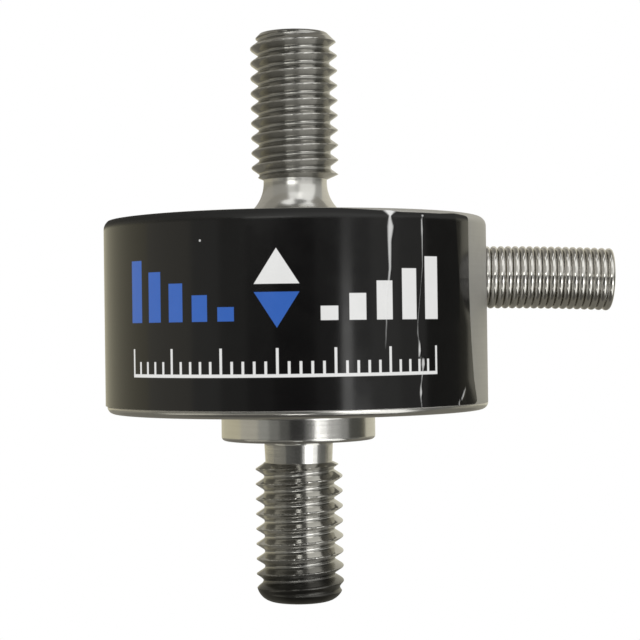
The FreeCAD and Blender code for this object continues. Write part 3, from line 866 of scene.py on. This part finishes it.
def chipGlaze(name, angle):
    finish, shader, place = newFinish(name)
    x, y, _ = axes(place)
    grain = noise(place, chip["grain"])
    cap = abs(y * math.cos(angle) - x * math.sin(angle)) > chip["capFrom"]
    colour = mixColours(place, cap, chip["glaze"], chip["tin"])
    setShader(shader, {}, {
        "Base Color": mixColours(place, chip["shading"] * grain, colour, chip["shade"]),
        "Metallic": cap,
        "Roughness": chip["roughness"] + chip["spread"] * grain})
    return finish


plainFinishes = {
    "spring_ferrule": metalFinish("bushMetal", bushMetal),
    "circuit_board": boardMask("boardMask"),
    "gauge_lead": metalFinish("leadCopper", leadCopper),
    "output_pin": metalFinish("turretGold", turretGold),
    "strain_gauge": gaugeFoil("gaugeFoil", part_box("strain_gauge_1")[0].z),
}
for name, node in nodes.items():
    if node.hide_render:
        continue
    kind = name.rstrip("_0123456789")
    if kind == "chip_resistor":
        low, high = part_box(name)
        finish = chipGlaze(f"chipGlaze{name[-1]}", math.atan2(low.y + high.y, low.x + high.x))
    else:
        finish = plainFinishes[kind]
    node.data.materials.clear()
    node.data.materials.append(finish)
print("inner pieces finished")


# Camera at the photo's place, in front of the label

view = {
    "focal": 99.57,
    "sensor": 36,
    "clipStart": 1 * mm,
    "distance": 118.81 * mm,
    "height": 7.222 * mm,
    "pitch": 0.365,
    "yaw": 0.744,
    "roll": -0.76,
}


def makeCamera():
    pitch, yaw, roll = (math.radians(view[name]) for name in ("pitch", "yaw", "roll"))
    forward = Vector((math.sin(yaw) * math.cos(pitch), math.cos(yaw) * math.cos(pitch), math.sin(pitch)))
    right = forward.cross((0, 0, 1)).normalized()
    up = right.cross(forward)
    tilted = right * math.cos(roll) + up * math.sin(roll)
    upright = up * math.cos(roll) - right * math.sin(roll)
    data = bpy.data.cameras.new("camera")
    data.lens = view["focal"]
    data.sensor_width = view["sensor"]
    data.clip_start = view["clipStart"]
    camera = bpy.data.objects.new("camera", data)
    bpy.context.scene.collection.objects.link(camera)
    turn = Matrix((tilted, upright, -forward)).transposed()
    camera.matrix_world = Matrix.Translation((0, -view["distance"], view["height"])) @ turn.to_4x4()
    bpy.context.scene.camera = camera


makeCamera()
print("camera placed")


# Studio: white surround, pale floor, and lit and dark cards for the metal to mirror

studio = {
    "reach": 0.26,
    "middle": 8 * mm,
    "cardStep": 6,
    "floor": -45 * mm,
    "floorRadius": 0.175,
    "floorSides": 96,
    "floorFade": 2.5,
    "floorGrain": 60.0,
    "floorDarker": (0.92, 0.92, 0.915, 1),
    "floorPaler": (0.95, 0.95, 0.945, 1),
    "fill": 1.0,
}
# left and right in degrees to the camera's right, low and high in degrees up, colour and strength
cards = {
    "lowerBackLeft": (-180, -95, -20, -8.5, (1, 0.95, 0.8), 0.3),
    "lowerLeft": (-95, -45, -20, -8.5, (1, 0.97, 0.84), 0.21),
    "lowerDim": (-45, 12, -20, -8.5, (1, 1, 0.95), 0.08),
    "lowerStripLeft": (12, 22, -20, -8.5, (1, 1, 0.98), 0.7),
    "lowerStrip": (22, 46, -20, -8.5, (1, 1, 0.98), 3.6),
    "lowerStripRight": (46, 66, -20, -8.5, (1, 1, 0.98), 1.6),
    "lowerSide": (66, 104, -20, -8.5, (1, 1, 0.93), 0.2),
    "lowerBackRight": (104, 180, -20, -8.5, (1, 0.96, 0.8), 0.36),
    "levelBackLeft": (-180, -95, -8.5, 7, (1, 0.935, 0.69), 0.64),
    "levelLeft": (-95, -62, -8.5, 7, (1, 0.96, 0.82), 0.56),
    "levelFrontLeft": (-62, -44, -8.5, 7, (1, 1, 0.93), 0.38),
    "levelFrontDim": (-44, -28, -8.5, 7, (1, 1, 0.93), 0.24),
    "levelDim": (-28, -13, -8.5, 9, (1, 1, 0.95), 0.12),
    "levelFront": (-13, 10, -8.5, 9, (1, 1, 1), 0.03),
    "levelFrontRight": (10, 25, -8.5, 7, (1, 1, 0.97), 0.13),
    "stripFoot": (25, 42, -8.5, -4, (1, 1, 0.98), 1.9),
    "stripCore": (25, 31, -4, 2, (1, 1, 0.98), 2.3),
    "stripEnd": (25, 31, 2, 7, (1, 1, 0.98), 0.6),
    "stripSide": (31, 42, -4, 7, (1, 1, 0.98), 0.3),
    "levelRight": (42, 60, -8.5, 7, (1, 1, 0.96), 0.46),
    "levelSide": (60, 79, -8.5, 7, (1, 1, 0.96), 0.34),
    "levelSideDark": (79, 108, -8.5, 7, (1, 1, 0.88), 0.08),
    "levelBackDim": (108, 118, -8.5, 7, (1, 0.96, 0.75), 0.14),
    "levelBackRight": (118, 180, -8.5, 7, (1, 0.96, 0.78), 0.72),
    "upperBackLeft": (-180, -90, 7, 16, (1, 0.95, 0.78), 0.36),
    "upperLeft": (-90, -28, 7, 16, (1, 0.97, 0.85), 0.19),
    "upperWindow": (-28, -2, 9, 16, (1, 1, 0.95), 4),
    "upperGap": (-2, 10, 9, 16, (1, 1, 0.95), 1.8),
    "upperRight": (10, 66, 7, 16, (1, 1, 0.96), 0.8),
    "upperSide": (66, 112, 7, 16, (1, 1, 0.93), 0.34),
    "upperBackRight": (112, 180, 7, 16, (1, 0.96, 0.8), 0.76),
    "highBackLeft": (-180, -90, 16, 42, (1, 0.96, 0.85), 0.45),
    "highLeft": (-90, -28, 16, 42, (1, 0.98, 0.9), 0.4),
    "highWindow": (-28, -2, 16, 42, (1, 1, 0.96), 0.75),
    "highGap": (-2, 16, 16, 42, (1, 1, 0.96), 0.6),
    "highRight": (16, 78, 16, 42, (1, 1, 0.97), 1.1),
    "highSide": (78, 112, 16, 42, (1, 1, 0.94), 0.45),
    "highBackRight": (112, 180, 16, 42, (1, 0.96, 0.82), 0.74),
    "aboveLeft": (-180, -28, 42, 64, (1, 0.96, 0.85), 0.34),
    "lampLeft": (-28, 12, 42, 64, (1, 1, 0.98), 1.1),
    "lamp": (12, 27, 42, 64, (1, 1, 0.98), 1.6),
    "lampRight": (27, 78, 42, 64, (1, 1, 0.98), 1.2),
    "aboveRight": (78, 180, 42, 64, (1, 0.96, 0.85), 0.3),
    "topLeft": (-80, -8, 64, 82, (1, 1, 0.98), 1.3),
    "topGap": (-8, 62, 64, 82, (1, 1, 0.96), 0.2),
    "topRight": (62, 120, 64, 82, (1, 1, 0.98), 1.2),
    "topBack": (120, 280, 64, 82, (1, 0.97, 0.88), 0.2),
    "ceiling": (-180, 180, 82, 90, (1, 0.98, 0.92), 0.18),
    "lowLeft": (-90, -50, -36, -20, (1, 0.97, 0.85), 0.66),
    "lowFrontLeft": (-50, -8, -36, -20, (1, 0.98, 0.9), 0.36),
    "lowFootLeft": (-90, -8, -48, -36, (1, 0.97, 0.85), 0.12),
    "lowFront": (-8, 6, -37, -20, (1, 1, 0.95), 0.2),
    "lowGlint": (-8, 6, -44.2, -37, (1, 1, 0.96), 3),
    "lowGlintFoot": (-8, 6, -48, -44.2, (1, 0.97, 0.88), 0.1),
    "lowGap": (6, 27, -48, -20, (1, 1, 0.95), 0.2),
    "lowStrip": (27, 76, -48, -20, (1, 1, 0.96), 1.5),
    "lowRight": (76, 90, -48, -20, (1, 0.97, 0.88), 0.14),
    "lowBack": (90, 270, -48, -20, (1, 0.96, 0.82), 0.22),
    "table": (-90, 90, -90, -48, (1, 0.97, 0.88), 0.1),
    "tableBack": (90, 270, -90, -48, (1, 0.96, 0.82), 0.2),
}


def glowing(name, colour, strength):
    finish = bpy.data.materials.new(name)
    finish.use_nodes = True
    tree = finish.node_tree
    tree.nodes.clear()
    glow = Wire(tree).node("ShaderNodeEmission", links={"Color": (*colour, 1), "Strength": strength})
    glow.node("ShaderNodeOutputMaterial", links={"Surface": glow})
    return finish


def makeCard(name, left, right, low, high, colour, strength):
    across = max(2, round((right - left) / studio["cardStep"]))
    tall = max(2, round((high - low) / studio["cardStep"]))
    reach = studio["reach"]
    verts = []
    for step in range(across + 1):
        turn = math.radians(left + (right - left) * step / across)
        for level in range(tall + 1):
            lift = math.radians(low + (high - low) * level / tall)
            verts.append((reach * math.cos(lift) * math.sin(turn), -reach * math.cos(lift) * math.cos(turn),
                          studio["middle"] + reach * math.sin(lift)))
    faces = []
    for step in range(across):
        for level in range(tall):
            corner = step * (tall + 1) + level
            faces.append((corner, corner + 1, corner + tall + 2, corner + tall + 1))
    mesh = bpy.data.meshes.new(name)
    mesh.from_pydata(verts, [], faces)
    mesh.materials.append(glowing(name, colour, strength))
    card = newPiece(name, mesh)
    # a card is only mirrored: it neither shows nor shades
    card.visible_camera = False
    card.visible_diffuse = False
    card.visible_shadow = False


def makeFloor():
    mesh = bpy.data.meshes.new("floor")
    radius = studio["floorRadius"]
    turns = [math.tau * step / studio["floorSides"] for step in range(studio["floorSides"])]
    rim = [(radius * math.cos(turn), radius * math.sin(turn), studio["floor"]) for turn in turns]
    mesh.from_pydata(rim, [], [tuple(range(len(rim)))])
    finish, shader, place = newFinish("paleFloor")
    grain = noise(place, studio["floorGrain"])
    x, y, _ = axes(place)
    reach = (x * x + y * y).math("SQRT") / radius
    # it fades out towards its rim
    setShader(shader, {"Roughness": 0.9, "Specular IOR Level": 0.1},
              {"Base Color": mixColours(place, grain, studio["floorDarker"], studio["floorPaler"]),
               "Alpha": ((1 - reach) * studio["floorFade"]).clamp()})
    mesh.materials.append(finish)
    floor = newPiece("floor", mesh)
    floor.visible_glossy = False


def makeWorld():
    world = bpy.data.worlds.new("studio")
    bpy.context.scene.world = world
    world.use_nodes = True
    tree = world.node_tree
    tree.nodes.clear()
    seen = Wire(tree).node("ShaderNodeLightPath", out="Is Camera Ray")
    for ray in ("Is Glossy Ray", "Is Transmission Ray"):
        seen = seen.math("MAXIMUM", seen.node("ShaderNodeLightPath", out=ray))
    white = seen.node("ShaderNodeBackground", links={"Color": (1, 1, 1, 1), "Strength": 1.0})
    fill = seen.node("ShaderNodeBackground", links={"Color": (1, 1, 1, 1), "Strength": studio["fill"]})
    both = seen.node("ShaderNodeMixShader", links={0: seen, 1: fill, 2: white})
    seen.node("ShaderNodeOutputWorld", links={"Surface": both})


for name, card in cards.items():
    makeCard(name, *card)
makeFloor()
makeWorld()
bpy.context.scene.view_settings.view_transform = "Standard"
print("studio made:", len(cards), "cards")
